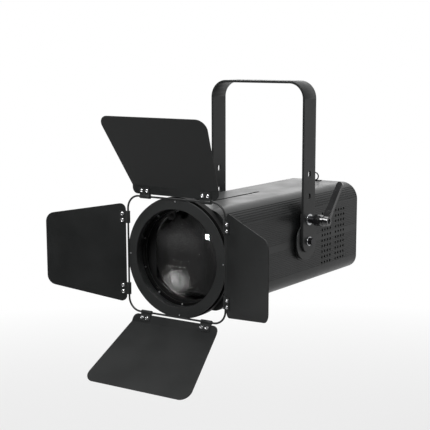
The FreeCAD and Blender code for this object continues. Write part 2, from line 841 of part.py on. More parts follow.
def make_light_engine():
    """Bulkhead, reflector, light source and heat sink, and the power supply under them."""
    bulkhead = body("mid_bulkhead")
    plate = sketch_on(bulkhead, "XZ_Plane", "bulkhead")
    inner_outline(plate, "0.1")
    circle(plate, "0", "0", "58")
    pad(bulkhead, plate, "wall", backwards=True)
    to_lamp(bulkhead)

    reflector = body("reflector")
    cone = sketch_on(reflector, "XY_Plane")
    polygon(
        cone,
        (
            ("58", "bulkhead + wall"),
            ("64", "bulkhead + wall"),
            ("64", "bulkhead + wall + 2"),
            ("59.6", "bulkhead + wall + 2"),
            ("18", "led_face - 0.5"),
            ("16", "led_face - 0.5"),
        ),
    )
    revolve(reflector, cone, "V_Axis")
    to_lamp(reflector)

    board = box("-40", "40", "led_face", "led_face + 2", "-40", "40")
    to_lamp(keep(group([board]), "led_board"))
    emitter = rod("y", "0", "led_face - 1.6", "0", "14", "1.6")
    to_lamp(keep(group([emitter]), "led_emitter"))

    sink = body("heat_sink")
    base = sketch_on(sink, "XZ_Plane", "led_face + 2")
    rectangle(base, "-102", "102", "-60", "60")
    pad(sink, base, "8", backwards=True)
    fin = sketch_on(sink, "XZ_Plane", "led_face + 9")
    rectangle(fin, "-70", "-68", "-60", "60")
    repeat(sink, pad(sink, fin, "95", backwards=True), "X_Axis", "8.625", 17)
    to_lamp(sink)

    case = body("power_supply")
    outline = sketch_on(case, "XZ_Plane", "352")
    rectangle(outline, "-66", "66", "-98.9", "-68")
    pad(case, outline, "176", backwards=True)
    to_lamp(case)


def make_rear():
    """The rear panel with its fan, display, buttons and sockets, and the eye for a safety bond."""
    panel = body("rear_panel")
    tall = "body_height / 2"
    plate = sketch_on(panel, "XZ_Plane", "body_rear - wall")
    rounded(plate, "body_width / 2", f"-1 * {tall}", tall, "foot_corner", "top_corner")
    circle(plate, "0", "fan_rise", "fan_half - 2")
    for x in BUTTON_PLACES:
        circle(plate, x, "button_rise", "button_radius + running_gap")
    for x in POWER_PLACES:
        circle(plate, x, "-1 * socket_drop", "12.2")
    for x in DATA_PLACES:
        circle(plate, x, "-1 * socket_drop", "10.2")
    circle(plate, "0", "-1 * socket_drop", "5.6")
    pad(panel, plate, "wall", backwards=True)
    to_lamp(panel)

    frame = body("fan_frame")
    outline = sketch_on(frame, "XZ_Plane", "body_rear - wall - 25.2")
    low, high = "fan_rise - fan_half", "fan_rise + fan_half"
    rounded(outline, "fan_half", low, high, "4", "4")
    circle(outline, "0", "fan_rise", "fan_half - 2")
    pad(frame, outline, "25", backwards=True)
    spider = sketch_on(frame, "XZ_Plane", "body_rear - wall - 25.2")
    circle(spider, "0", "fan_rise", "14")
    pad(frame, spider, "3", backwards=True)
    struts = sketch_on(frame, "XZ_Plane", "body_rear - wall - 25.2")
    rectangle(struts, "-39", "39", "fan_rise - 2", "fan_rise + 2")
    pad(frame, struts, "3", backwards=True)
    pin = sketch_on(frame, "XZ_Plane", "body_rear - wall - 23")
    circle(pin, "0", "fan_rise", "2")
    pad(frame, pin, "17", backwards=True)
    to_lamp(frame)

    rotor = body("fan_rotor")
    hub = sketch_on(rotor, "XZ_Plane", "body_rear - wall - 21.5")
    circle(hub, "0", "0", "15")
    circle(hub, "0", "0", "2 + running_gap")
    pad(rotor, hub, "19", backwards=True)
    blade = sketch_on(rotor, "XZ_Plane", "body_rear - wall - 19")
    polygon(blade, (("13", "-1"), ("36.5", "-8"), ("36.5", "-5.6"), ("13", "1")))
    turn_copies(rotor, pad(rotor, blade, "14", backwards=True), "Y_Axis", 7)
    move(rotor, y="-1 * front_reach", z="fan_rise - axis_drop")

    outside = "body_rear + 1.3"
    rings = [ring("y", "0", outside, "fan_rise", str(size), "1") for size in (12, 20, 28, 36)]
    spokes = []
    for turn in range(4):
        spoke = rod("x", "0", "0", "0", "1", "44")
        spoke.Placement = Placement(Vector(), Rotation(Vector(0, 1, 0), 45 + 90 * turn).multiply(ALONG_X))
        spokes.append(move(spoke, y=outside, z="fan_rise"))
    feet = [
        rod("y", x, "body_rear", f"fan_rise + {z}", "2.8", "2.8")
        for x in ("-30.4", "30.4")
        for z in ("-30.4", "30.4")
    ]
    to_lamp(keep(fuse(rings + spokes + feet), "fan_guard"))

    for number, x in enumerate(BUTTON_PLACES, start=1):
        face = "body_rear - wall - 3"
        stalk = rod("y", x, face, "button_rise", "button_radius", "wall + 5.2")
        flange = rod("y", x, face, "button_rise", "button_radius + 1", "2.4")
        to_lamp(keep(fuse([stalk, flange]), f"menu_button_{number}"))
    window = box("-30", "30", "body_rear", "body_rear + 1.4", "62", "84")
    to_lamp(keep(group([window]), "display_window"))
    board = box("-44", "44", "body_rear - 11", "body_rear - 9.4", "44", "86")
    to_lamp(keep(group([board]), "control_board"))

    sockets = [socket(x, "10", "7.6", "9") for x in DATA_PLACES]
    to_lamp(keep(group(sockets), "data_sockets"))
    for x, label in zip(POWER_PLACES, ("power_inlet", "power_outlet")):
        to_lamp(keep(socket(x, "12", "9.5", "7"), label))
    fuse_cap = fuse(
        [
            rod("y", "0", "body_rear - 24", "-1 * socket_drop", "5.4", "26"),
            rod("y", "0", "body_rear", "-1 * socket_drop", "7.5", "2"),
            rod("y", "0", "body_rear + 2", "-1 * socket_drop", "6.2", "7"),
        ]
    )
    to_lamp(keep(fuse_cap, "fuse_holder"))

    screws = []
    for x, z in (("-92", "58"), ("92", "58"), ("-94", "-58"), ("94", "-58"), ("-50", "92"), ("50", "92")):
        head = rod("y", x, "body_rear", z, "3.4", "2")
        screws.append(cut(head, [hexagon("y", x, "body_rear + 0.8", z, "2.6", "2")]))
    to_lamp(keep(group(body_screws + screws), "housing_screws"))

    eye_rise = "body_height / 2 + 10.4"
    eye = fuse(
        [
            ring("y", "0", "565", eye_rise, "8.75", "1.5"),
            box("-5", "15", "559", "571", "body_height / 2", "body_height / 2 + 2"),
        ]
    )
    to_lamp(keep(eye, "safety_eye"))


def socket(x, barrel, mouth, depth):
    """A chassis socket: flange on the panel, barrel behind it, and an open mouth."""
    level = "-1 * socket_drop"
    flange = box(f"{x} - 13", f"{x} + 13", "body_rear", "body_rear + 2", f"{level} - 15.5", f"{level} + 15.5")
    shell = rod("y", x, "body_rear - 20", level, barrel, "23.5")
    well = rod("y", x, f"body_rear + 3.5 - {depth}", level, mouth, depth)
    return cut(fuse([flange, shell]), [well])


# ---------------------------------------------------------------- barn doors


def make_barn_frame():
    """The turning ring with its collar, and the wire frame that the leaves hang on."""
    made = body("barn_ring")
    profile = sketch_on(made, "XY_Plane")
    polygon(
        profile,
        (
            ("ring_aperture", "0"),
            ("ring_radius", "0"),
            ("ring_radius", "2"),
            ("collar_radius", "2"),
            ("collar_radius", "11"),
            ("collar_radius - 1.2", "11"),
            ("collar_radius - 1.2", "18"),
            ("collar_radius", "18"),
            ("collar_radius", "19"),
            ("ring_aperture", "19"),
        ),
    )
    revolve(made, profile, "V_Axis")
    flat = sketch_on(made, "XZ_Plane", "-1")
    rectangle(flat, "-60", "60", "wire_half - wire_radius", "ring_radius + 5")
    turn_copies(made, pocket(made, flat, "4"), "Y_Axis", 4)
    to_lamp(made)

    straight = "wire_half - wire_corner"
    pieces = []
    for turn in range(4):
        around = Rotation(Vector(0, 1, 0), 90 * turn)
        side = rod("x", f"-1 * ( {straight} )", "0", "wire_half", "wire_radius", f"2 * ( {straight} )")
        corner = ring("y", straight, "0", straight, "wire_corner", "wire_radius")
        corner.Angle3 = 90
        corner.Placement.Rotation = Rotation(Vector(0, 1, 0), -90).multiply(ALONG_Y)
        move(corner, straight, "0", straight)
        pair = group([side, corner])
        pair.Placement = Placement(Vector(), around)
        pieces.append(pair)
    to_lamp(keep(fuse(pieces), "wire_frame"))

    rivets = []
    for turn in (0, 90, 176, 270):
        rivet = rod("y", "0", "-0.5", "wire_half - 5", "1.5", "0.5")
        holder = group([rivet])
        holder.Placement = Placement(Vector(), Rotation(Vector(0, 1, 0), turn))
        rivets.append(holder)
    to_lamp(keep(group(rivets), "ring_rivets"))


def leaf_placement(turn, tilt):
    """A leaf's turn: first its forward tilt about the wire, then round the beam."""
    return Rotation(Vector(0, 1, 0), turn).multiply(Rotation(Vector(1, 0, 0), tilt))


def on_wire(thing, turn, tilt):
    """Puts a piece, drawn about the wire, on one side of the wire frame."""
    thing.Placement = Placement(Vector(), leaf_placement(turn, tilt))
    angle = math.radians(turn)
    across = round(math.sin(angle))
    upward = round(math.cos(angle))
    return move(thing, f"{across} * wire_half", "-1 * front_reach", f"{upward} * wire_half - axis_drop")


def make_leaf(name, turn, tilt, bent):
    """One leaf with its two hinge clips and their screws."""
    made = body(f"leaf_{name}")
    sheet_plane = sketch_on(made, "XZ_Plane")
    near = "wide_near" if bent else "side_near"
    if bent:
        rectangle(sheet_plane, f"-1 * {near}", near, "leaf_start", "crease")
    else:
        polygon(
            sheet_plane,
            (
                ("-1 * side_near", "leaf_start"),
                ("side_near", "leaf_start"),
                ("side_far", "side_reach"),
                ("-1 * side_far", "side_reach"),
            ),
        )
    pad(made, sheet_plane, "leaf_thick", both_ways=True)
    start = reading("leaf_start")
    soften(made, [Vector(s * reading(near), 0, start) for s in (-1, 1)], "near_round")
    if bent:
        fold = sketch_on(made, "YZ_Plane")
        circle(fold, "0", "crease", "leaf_thick / 2")
        pad(made, fold, f"2 * {near}", both_ways=True)
        flap = sketch_on(made, "XZ_Plane")
        flap.AttachmentOffset = Placement(Vector(), Rotation(Vector(1, 0, 0), LEAF_BEND))
        flap.setExpression(".AttachmentOffset.Base.y", ref("crease"))
        polygon(
            flap,
            (
                ("-1 * wide_near", "0"),
                ("wide_near", "0"),
                ("wide_far", "wide_reach"),
                ("-1 * wide_far", "wide_reach"),
            ),
        )
        pad(made, flap, "leaf_thick", both_ways=True)
        bend = math.radians(LEAF_BEND)
        reach = reading("wide_reach")
        tip = Vector(0, -reach * math.sin(bend), reading("crease") + reach * math.cos(bend))
        far = reading("wide_far")
    else:
        tip = Vector(0, 0, reading("side_reach"))
        far = reading("side_far")
    soften(made, [tip + Vector(s * far, 0, 0) for s in (-1, 1)], "far_round")
    holes = sketch_on(made, "XZ_Plane")
    for place in SCREW_PLACES:
        circle(holes, place, "clip_screw_place", "2.05")
    pocket(made, holes, "10", both_ways=True)
    on_wire(made, turn, tilt)

    clips = []
    screws = []
    gap = "leaf_thick / 2 + 0.02"
    for side in ("-1", "1"):
        low = f"{side} * clip_place - clip_width / 2"
        high = f"{side} * clip_place + clip_width / 2"
        knuckle = rod("x", low, "0", "0", "clip_knuckle", "clip_width")
        plates = box(low, high, f"-1 * ( {gap} + clip_skin )", f"{gap} + clip_skin", "1.5", "clip_reach")
        tools = [
            rod("x", f"{low} - 1", "0", "0", "wire_radius + 0.06", "clip_width + 2"),
            box(f"{low} - 1", f"{high} + 1", f"-1 * ( {gap} )", gap, "1.5", "clip_reach + 1"),
        ]
        for step in ("-1", "1"):
            place = f"{side} * clip_place + {step} * clip_screw_gap"
            tools.append(rod("y", place, "-5", "clip_screw_place", "2.05", "10"))
            front = f"{gap} + clip_skin"
            head = rod("y", place, f"-1 * ( {front} ) - 2.4", "clip_screw_place", "4", "2.4")
            recess = hexagon("y", place, f"-1 * ( {front} ) - 2.5", "clip_screw_place", "4", "1.7")
            shank = rod("y", place, f"-1 * ( {front} ) - 0.5", "clip_screw_place", "2", f"2 * ( {front} ) + 3")
            nut = hexagon("y", place, front, "clip_screw_place", "6.6", "2.2")
            screws.append(cut(fuse([head, shank, nut]), [recess]))
        clips.append(cut(fuse([knuckle, plates]), tools))
    on_wire(keep(group(clips), f"leaf_{name}_clips"), turn, tilt)
    on_wire(keep(group(screws), f"leaf_{name}_screws"), turn, tilt)


ROD_PLACES = (("80", "-78"), ("-80", "-78"), ("76", "74"), ("-76", "74"))
BUTTON_PLACES = tuple(f"{step} * button_pitch" for step in ("-1.5", "-0.5", "0.5", "1.5"))
POWER_PLACES = ("-72", "-34")
DATA_PLACES = ("34", "72")
SCREW_PLACES = tuple(
    f"{side} * clip_place + {step} * clip_screw_gap" for side in ("-1", "1") for step in ("-1", "1")
)

make_yoke()
make_pivots()
make_lock()
make_housing()
make_front()
make_zoom()
make_light_engine()
make_rear()
make_barn_frame()
for leaf in LEAVES:
    make_leaf(*leaf)

doc.removeObject(probe.Name)
doc.recompute()
for thing in doc.Objects:
    if "Invalid" in thing.State or "Error" in thing.State:
        raise RuntimeError(f"{thing.Label} ({thing.Name}) failed: {thing.State}")
for node in nodes:
    if node.Shape.isNull() or not node.Shape.isValid() or node.Shape.Volume <= 0:
        raise RuntimeError(f"{node.Label} has no valid shape")
os.makedirs("parts", exist_ok=True)
for node in nodes:
    node.Shape.exportStep(f"parts/{node.Label}.step")
print(len(nodes), "nodes written")
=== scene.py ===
"""Looks of the theatre spotlight: materials, small detail pieces, light and camera.

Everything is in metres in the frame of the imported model: origin at the yoke's bolt hole, +Z up,
and the beam leaves along -Y.
"""

import json
import math

import bmesh
import bpy
from mathutils import Matrix, Vector


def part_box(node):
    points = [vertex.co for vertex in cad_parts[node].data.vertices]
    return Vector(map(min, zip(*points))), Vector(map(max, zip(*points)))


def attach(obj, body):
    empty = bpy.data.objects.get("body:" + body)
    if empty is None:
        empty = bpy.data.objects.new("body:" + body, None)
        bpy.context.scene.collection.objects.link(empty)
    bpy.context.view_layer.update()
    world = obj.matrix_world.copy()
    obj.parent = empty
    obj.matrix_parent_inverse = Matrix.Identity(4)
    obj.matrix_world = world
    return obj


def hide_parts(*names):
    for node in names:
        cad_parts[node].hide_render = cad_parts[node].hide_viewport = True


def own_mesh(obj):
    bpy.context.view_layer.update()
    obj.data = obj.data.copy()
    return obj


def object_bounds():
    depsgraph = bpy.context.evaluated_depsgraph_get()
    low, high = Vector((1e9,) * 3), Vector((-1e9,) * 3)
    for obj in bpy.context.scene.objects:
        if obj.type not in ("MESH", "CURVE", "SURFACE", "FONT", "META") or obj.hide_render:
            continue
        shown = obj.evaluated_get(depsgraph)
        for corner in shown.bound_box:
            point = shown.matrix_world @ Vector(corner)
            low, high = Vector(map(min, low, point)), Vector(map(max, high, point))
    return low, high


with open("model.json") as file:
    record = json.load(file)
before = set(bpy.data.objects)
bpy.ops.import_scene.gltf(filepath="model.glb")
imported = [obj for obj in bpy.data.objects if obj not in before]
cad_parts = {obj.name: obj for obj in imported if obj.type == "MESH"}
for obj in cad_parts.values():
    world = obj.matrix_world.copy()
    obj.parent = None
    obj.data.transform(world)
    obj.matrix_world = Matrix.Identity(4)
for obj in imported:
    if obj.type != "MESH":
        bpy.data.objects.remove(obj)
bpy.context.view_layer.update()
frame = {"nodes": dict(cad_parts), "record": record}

MM = 0.001
NODES = frame["nodes"]
LEAF_SIDES = ("top", "right", "bottom", "left")

# ---------------------------------------------------------------- materials


def new_material(name):
    """An empty node material with its shader, ready for inputs."""
    made = bpy.data.materials.new(name)
    made.use_nodes = True
    shader = made.node_tree.nodes["Principled BSDF"]
    return made, shader


def add(material, kind, **settings):
    """A node in a material, with properties or input values set by name."""
    node = material.node_tree.nodes.new(kind)
    for name, value in settings.items():
        if hasattr(node, name):
            setattr(node, name, value)
        else:
            node.inputs[name.replace("_", " ")].default_value = value
    return node


def wire(material, source, target):
    """Links one socket to another."""
    material.node_tree.links.new(source, target)


def object_point(material, scale=(1, 1, 1)):
    """The surface point in the object's own coordinates, in metres, scaled per axis."""
    coordinates = add(material, "ShaderNodeTexCoord")
    mapping = add(material, "ShaderNodeMapping")
    mapping.inputs["Scale"].default_value = scale
    wire(material, coordinates.outputs["Object"], mapping.inputs["Vector"])
    return mapping.outputs["Vector"]


def noise(material, point, scale, detail=3.0, roughness=0.55):
    """A noise value at a scale counted per metre."""
    node = add(material, "ShaderNodeTexNoise", Scale=scale, Detail=detail, Roughness=roughness)
    wire(material, point, node.inputs["Vector"])
    return node.outputs["Fac"]


def span(material, value, low, high, start=0.3, end=0.7):
    """Maps a value onto low to high."""
    node = add(material, "ShaderNodeMapRange")
    node.inputs["From Min"].default_value = start
    node.inputs["From Max"].default_value = end
    node.inputs["To Min"].default_value = low
    node.inputs["To Max"].default_value = high
    wire(material, value, node.inputs["Value"])
    return node.outputs["Result"]


def blend_colours(material, value, first, second, start=0.35, end=0.65):
    """Runs from the first colour to the second as a value rises."""
    ramp = add(material, "ShaderNodeValToRGB")
    ramp.color_ramp.elements[0].position = start
    ramp.color_ramp.elements[0].color = (*first, 1)
    ramp.color_ramp.elements[1].position = end
    ramp.color_ramp.elements[1].color = (*second, 1)
    wire(material, value, ramp.inputs["Fac"])
    return ramp.outputs["Color"]


def bump(material, shader, height, strength, distance):
    """Adds a height to a shader's normal."""
    node = add(material, "ShaderNodeBump", Strength=strength, Distance=distance)
    wire(material, height, node.inputs["Height"])
    wire(material, node.outputs["Normal"], shader.inputs["Normal"])


def powder_coat(name, colour, roughness, gloss, grain=900.0, depth=0.00012):
    """Powder coat: a fine orange peel and slight patchiness in its colour and roughness."""
    made, shader = new_material(name)
    point = object_point(made)
    patch = noise(made, point, 14.0, 4.0)
    peel = noise(made, point, grain, 2.0, 0.4)
    lighter = tuple(min(1.0, c * 1.28 + 0.002) for c in colour)
    wire(made, blend_colours(made, patch, colour, lighter), shader.inputs["Base Color"])
    wire(made, span(made, patch, roughness - 0.05, roughness + 0.07), shader.inputs["Roughness"])
    shader.inputs["Specular IOR Level"].default_value = gloss
    bump(made, shader, peel, 0.35, depth)
    return made


def plated_steel(name, colour, roughness=0.24):
    """Bright plated steel with fine wipe marks."""
    made, shader = new_material(name)
    marks = noise(made, object_point(made, (1, 1, 9)), 420.0, 4.0)
    patch = noise(made, object_point(made), 60.0, 3.0)
    darker = tuple(c * 0.78 for c in colour)
    wire(made, blend_colours(made, patch, darker, colour), shader.inputs["Base Color"])
    wire(made, span(made, marks, roughness - 0.06, roughness + 0.12), shader.inputs["Roughness"])
    shader.inputs["Metallic"].default_value = 1.0
    bump(made, shader, marks, 0.15, 0.00005)
    return made


def moulded(name, colour, roughness, grain=1400.0, coat=0.0):
    """A moulded plastic with a fine spark texture."""
    made, shader = new_material(name)
    point = object_point(made)
    spark = noise(made, point, grain, 2.0, 0.5)
    patch = noise(made, point, 30.0, 3.0)
    lighter = tuple(min(1.0, c * 1.2 + 0.001) for c in colour)
    wire(made, blend_colours(made, patch, colour, lighter), shader.inputs["Base Color"])
    wire(made, span(made, patch, roughness - 0.04, roughness + 0.06), shader.inputs["Roughness"])
    shader.inputs["Coat Weight"].default_value = coat
    shader.inputs["Coat Roughness"].default_value = 0.06
    bump(made, shader, spark, 0.25, 0.00008)
    return made


def lens_glass(name, pebble_depth=0.0, clearness_and_shade=0.98, metallic=0.0):
    """Glass.  The lens's rear is pebbled and partly metallic, for the reflections inside it; its lower
    clearness greys it, painted shade that darkens the lamp's inside seen through the lens.
    """
    made, shader = new_material(name)
    point = object_point(made)
    patch = noise(made, point, 12.0, 2.0)
    # Below one, the clearness greys the glass; on the pebbled rear this is painted shade over the lamp's
    # inside.
    tint = blend_colours(made, patch, (clearness_and_shade - 0.04,) * 3, (clearness_and_shade,) * 3)
    wire(made, tint, shader.inputs["Base Color"])
    wire(made, span(made, patch, 0.01, 0.03), shader.inputs["Roughness"])
    shader.inputs["Transmission Weight"].default_value = 1.0
    shader.inputs["IOR"].default_value = 1.5
    shader.inputs["Metallic"].default_value = metallic
    if pebble_depth:
        bump(made, shader, noise(made, point, 300.0, 1.0), 1.0, pebble_depth)
    return made


def phosphor_cells():
    """The LED's yellow phosphor, unlit."""
    made, shader = new_material("phosphor")
    cells = add(made, "ShaderNodeTexVoronoi", Scale=420.0)
    wire(made, object_point(made), cells.inputs["Vector"])
    bright, deep = (0.9, 0.72, 0.16), (0.55, 0.4, 0.06)
    colour = blend_colours(made, cells.outputs["Distance"], bright, deep, 0.1, 0.7)
    wire(made, colour, shader.inputs["Base Color"])
    shader.inputs["Roughness"].default_value = 0.4
    return made


MATERIALS = {
    "satin_black": powder_coat("satin_black", (0.0105, 0.0112, 0.0112), 0.40, 0.30),
    "leaf_black": powder_coat("leaf_black", (0.0062, 0.0068, 0.0068), 0.44, 0.27, 1500.0, 0.00006),
    "body_black": powder_coat("body_black", (0.0085, 0.0092, 0.0092), 0.36, 0.32),
    "inner_black": powder_coat("inner_black", (0.004, 0.004, 0.0042), 0.55, 0.3),
    # The front drum's near-black, low-gloss coat is painted shade: it darkens the drum into the shadowed
    # gap between the ring and the bezel.
    "drum_painted_shade": powder_coat("drum_painted_shade", (0.0018, 0.0018, 0.0018), 0.5, 0.1),
    "zinc_steel": plated_steel("zinc_steel", (0.66, 0.67, 0.69)),
    "screw_steel": plated_steel("screw_steel", (0.72, 0.72, 0.73), 0.2),
    "bolt_black": plated_steel("bolt_black", (0.05, 0.05, 0.053), 0.34),
    "gloss_black": moulded("gloss_black", (0.006, 0.006, 0.0065), 0.16, 600.0, 0.6),
    "knob_black": moulded("knob_black", (0.012, 0.012, 0.0125), 0.48),
    "buffer_rubber": moulded("buffer_rubber", (0.014, 0.014, 0.014), 0.7, 800.0),
    "lens_glass": lens_glass("lens_glass"),
    # The rear's clearness of 0.5 is painted shade: it darkens the lamp's inside seen through the lens.
    "lens_pebble": lens_glass("lens_pebble", 0.0007, 0.5, 0.09),
    "reflector_mirror": plated_steel("reflector_mirror", (0.86, 0.87, 0.88), 0.12),
    "sink_aluminium": plated_steel("sink_aluminium", (0.56, 0.57, 0.58), 0.34),
    "board_white": moulded("board_white", (0.72, 0.72, 0.70), 0.45),
    "phosphor": phosphor_cells(),
    "board_green": moulded("board_green", (0.012, 0.075, 0.03), 0.35, 500.0, 0.4),
    "connector_black": moulded("connector_black", (0.012, 0.012, 0.0125), 0.42),
    "display_dark": moulded("display_dark", (0.004, 0.006, 0.008), 0.08, 300.0, 1.0),
    "button_grey": moulded("button_grey", (0.06, 0.06, 0.064), 0.55),
}


def dress_frame():
    """Gives each carried-over node its slot's material; the front drum gets a near-black, low-gloss one,
    painted shade for the gap behind the ring, and the lock insert a darker bolt steel.
    """
    chosen = {part["node"]: part["material_slot"] for part in frame["record"]["subparts"]}
    # The front drum's near-black material is painted shade for the gap behind the ring.
    chosen.update({"front_drum": "drum_painted_shade", "lock_insert": "bolt_black"})
    for name, node in NODES.items():
        node.data.materials.clear()
        node.data.materials.append(MATERIALS[chosen[name]])


# ---------------------------------------------------------------- pieces

WELD_DISTANCE = 0.001 * MM


def mesh_object(name, shape, slot, body, smooth):
    """Turns a bmesh into a piece that rides on a body, with faces smooth up to an angle in degrees."""
    mesh = bpy.data.meshes.new(name)
    bmesh.ops.recalc_face_normals(shape, faces=shape.faces[:])
    shape.to_mesh(mesh)
    shape.free()
    made = bpy.data.objects.new(name, mesh)
    bpy.context.scene.collection.objects.link(made)
    mesh.materials.append(MATERIALS[slot])
    mesh.shade_smooth()
    mesh.set_sharp_from_angle(angle=math.radians(smooth))
    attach(made, body)
    return made


def lathe(shape, profile, turn, steps, index=0):
    """Turns a profile about Z, then places it.  The index is that of its faces' material.

    A point of the profile is (radius, height), or (half of the width across flats, height, "hexagon").
    Points on the axis close the shape.
    """
    rings = []
    for radius, height, *form in profile:
        if radius == 0:
            rings.append([shape.verts.new(turn @ Vector((0, 0, height)))])
            continue
        ring = []
        for step in range(steps):
            angle = 2 * math.pi * step / steps
            reach = radius
            if form:
                reach = radius / math.cos((angle + math.pi / 6) % (math.pi / 3) - math.pi / 6)
            point = Vector((reach * math.cos(angle), reach * math.sin(angle), height))
            ring.append(shape.verts.new(turn @ point))
        rings.append(ring)
    for first, second in zip(rings, rings[1:]):
        for step in range(steps):
            after = (step + 1) % steps
            corners = [first[step % len(first)], first[after % len(first)]]
            corners += [second[after % len(second)], second[step % len(second)]]
            unique = list(dict.fromkeys(corners))
            if len(unique) >= 3:
                shape.faces.new(unique).material_index = index


def islands(node):
    """The separate solids of a node, each as its points and its faces' area vectors.

    The faces are kept in a dictionary, because a set's order differs from run to run.
    """
    joined = bmesh.new()
    joined.from_mesh(node.data)
    bmesh.ops.remove_doubles(joined, verts=joined.verts[:], dist=WELD_DISTANCE)
    seen = set()
    found = []
    for first in joined.verts:
        if first in seen:
            continue
        seen.add(first)
        waiting, points, faces = [first], [], {}
        while waiting:
            vert = waiting.pop()
            points.append(vert.co.copy())
            faces.update(dict.fromkeys(vert.link_faces))
            for edge in vert.link_edges:
                other = edge.other_vert(vert)
                if other not in seen:
                    seen.add(other)
                    waiting.append(other)
        found.append((points, [face.normal * face.calc_area() for face in faces]))
    joined.free()
    return found


def facing(vectors, side):
    """The direction in which most flat area faces, on the given side."""
    least_area, nearly_parallel = 1e-9, 0.9995
    ways = [area.normalized() for area in vectors if area.length > least_area and area.dot(side) > 0]

    def area_towards(way):
        return sum(area.length for area in vectors if area.dot(way) > nearly_parallel * area.length)

    return max(ways, key=area_towards)


def make_leaf_screws(side):
    """A leaf's button-head screws with hexagon sockets, and their chamfered nuts behind it."""
    node_name = f"leaf_{side}_screws"
    shank, socket_floor = 2.0 * MM, -1.75 * MM
    head_radius, head_underside = 4.0 * MM, -2.42 * MM
    nut_half_width, nut_thickness = 3.3 * MM, 2.15 * MM
    shape = bmesh.new()
    for points, areas in islands(NODES[node_name]):
        way = facing(areas, Vector((0, -1, 0)))
        ends = [point.dot(way) for point in points]
        front, rear = max(ends), min(ends)
        middle = sum(points, Vector()) / len(points)
        place = middle + way * (front - middle.dot(way))
        turn = Matrix.Translation(place) @ way.to_track_quat("Z", "Y").to_matrix().to_4x4()
        end = rear - front
        nut_face = end + 3.15 * MM
        nut_rear = nut_face - nut_thickness
        profile = [
            (0, socket_floor),
            (1.95 * MM, socket_floor, "hexagon"),
            (2.0 * MM, -0.35 * MM, "hexagon"),
            (2.5 * MM, -0.06 * MM),
            (2.8 * MM, 0),
            (3.3 * MM, -0.28 * MM),
            (3.7 * MM, -0.75 * MM),
            (3.92 * MM, -1.35 * MM),
            (head_radius, -1.9 * MM),
            (head_radius, -2.35 * MM),
            (3.9 * MM, head_underside),
            (shank, head_underside),
            (shank, nut_face),
            (3.2 * MM, nut_face, "hexagon"),
            (nut_half_width, nut_face - 0.2 * MM, "hexagon"),
            (nut_half_width, nut_face - 1.9 * MM, "hexagon"),
            (3.1 * MM, nut_rear),
            (2.15 * MM, nut_rear),
            (shank, nut_rear - 0.15 * MM),
            (shank, end + 0.3 * MM),
            (1.7 * MM, end),
            (0, end),
        ]
        lathe(shape, profile, turn, 36)
    made = mesh_object(f"leaf_{side}_bolts", shape, "screw_steel", f"leaf_{side}_body", 35)
    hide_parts(node_name)


def make_lock_coil():
    """The lock lever's spring: a wire coil under the screw's head, which on the real lamp shortens as the
    lever is pulled; here it rides on the lock insert at one length.
    """
    low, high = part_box("lock_spring")
    wire_radius = 0.3 * MM
    coil_radius = (high.z - low.z) / 2 - wire_radius
    centre = (low + high) / 2
    start, length = low.x + wire_radius, high.x - low.x - 2 * wire_radius
    turns, steps, sides = 3, 56, 12
    run = 2 * math.pi * turns * coil_radius
    shape = bmesh.new()
    loops = []
    for step in range(turns * steps + 1):
        share = step / (turns * steps)
        angle = 2 * math.pi * turns * share
        outward = Vector((0, math.cos(angle), math.sin(angle)))
        slope = Vector((length, -outward.z * run, outward.y * run))
        across = outward.cross(slope.normalized())
        middle = Vector((start + length * share, centre.y, centre.z)) + outward * coil_radius
        loop = []
        for side in range(sides):
            around = 2 * math.pi * side / sides
            spot = middle + (outward * math.cos(around) + across * math.sin(around)) * wire_radius
            loop.append(shape.verts.new(spot))
        loops.append(loop)
    for first, second in zip(loops, loops[1:]):
        for side in range(sides):
            after = (side + 1) % sides
            shape.faces.new((first[side], first[after], second[after], second[side]))
    shape.faces.new(loops[0])
    shape.faces.new(loops[-1])
    coil = mesh_object("lock_coil", shape, "screw_steel", "lock_insert_body", 50)
    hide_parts("lock_spring")
    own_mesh(coil)


CONNECTORS = ["fuse_holder", "power_inlet", "power_outlet", "data_sockets"]
BUTTONS = [f"menu_button_{number}" for number in range(1, 5)]
EDGE_WIDTHS_MM = {
    0.2: [f"leaf_{side}_clips" for side in LEAF_SIDES],
    0.25: ["light_baffle"] + [f"leaf_{side}" for side in LEAF_SIDES],
    0.3: ["yoke", "barn_ring", "lock_washer", "pivot_washers", "pivot_bolts", "display_window"],
    0.4: ["front_bezel", "rear_panel", "tilt_discs", "travel_stop"] + CONNECTORS + BUTTONS,
    0.5: ["zoom_knob"],
    0.6: ["lock_lever"],
}


def round_edges():
    """Rounds the sharp edges of the sheet metal and mouldings, so that they catch the light."""
    for width, names in EDGE_WIDTHS_MM.items():
        for name in names:
            weld = NODES[name].modifiers.new("weld", "WELD")
            weld.merge_threshold = 2 * WELD_DISTANCE
            edge = NODES[name].modifiers.new("edge", "BEVEL")
            edge.width = width * MM
            edge.segments = 2
            edge.limit_method = "ANGLE"
            edge.angle_limit = math.radians(32)
            edge.harden_normals = True


def dome_profile(edge, apex, rim, count):
    """A round dome's profile from its apex out to its edge, as (radius, height)."""
    rise = rim - apex
    curve = abs((edge * edge + rise * rise) / (2 * rise))
    points = []
    for step in range(count + 1):
        across = edge * step / count
        drop = curve - math.sqrt(curve * curve - across * across)
        points.append((across, apex + math.copysign(drop, rise)))
    return points


